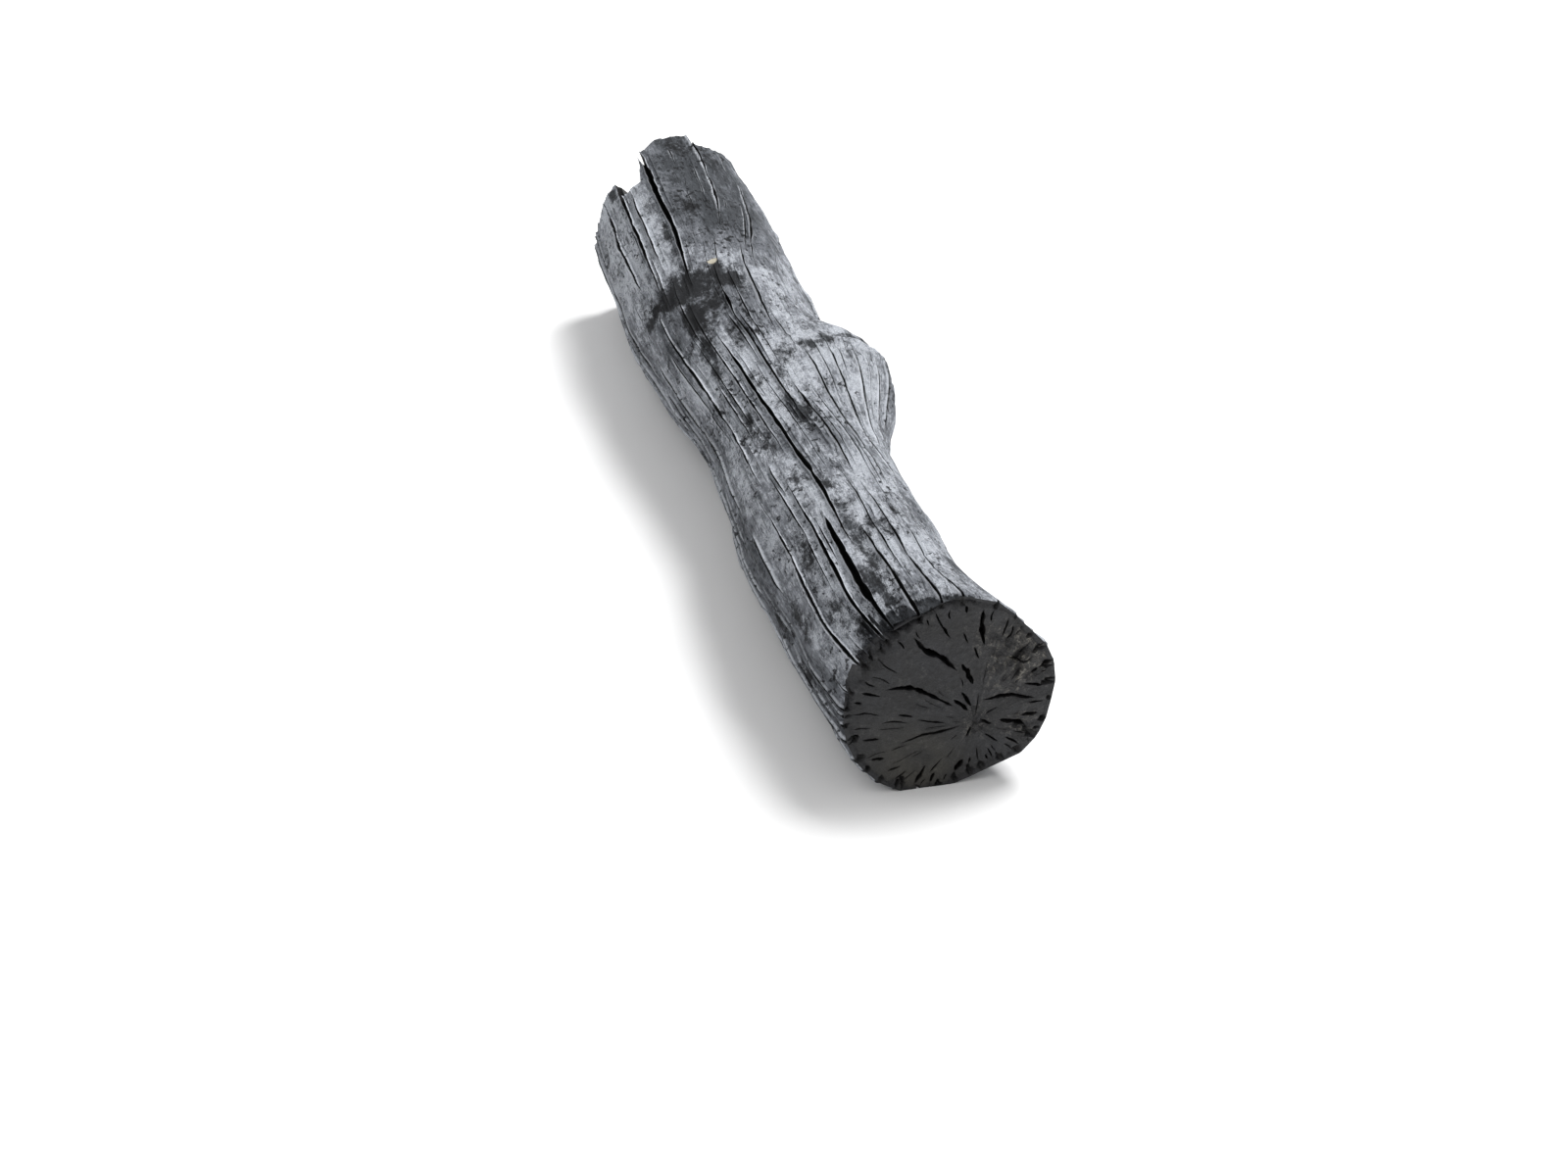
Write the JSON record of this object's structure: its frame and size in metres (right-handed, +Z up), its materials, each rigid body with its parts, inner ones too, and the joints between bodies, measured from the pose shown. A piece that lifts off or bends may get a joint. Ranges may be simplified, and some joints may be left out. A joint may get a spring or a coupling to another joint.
{
  "type": "charcoal lump",
  "caption": "Stick of hard white charcoal burnt whole from a knotty branch, cracked along the grain, sawn at one end and snapped at the other.",
  "frame": {"origin": "middle of the footprint, on the surface that the stick lies on", "axes": "+Y along the stick from the sawn face to the snapped end, +Z up, +X towards the big knot"},
  "size_m": [0.0512, 0.2202, 0.0399],
  "materials": {
    "charcoal": "dry ash-grey bark side over matt black charcoal"
  },
  "bodies": {
    "root": {"charcoal_stick": "charcoal"}
  },
  "joints": []
}
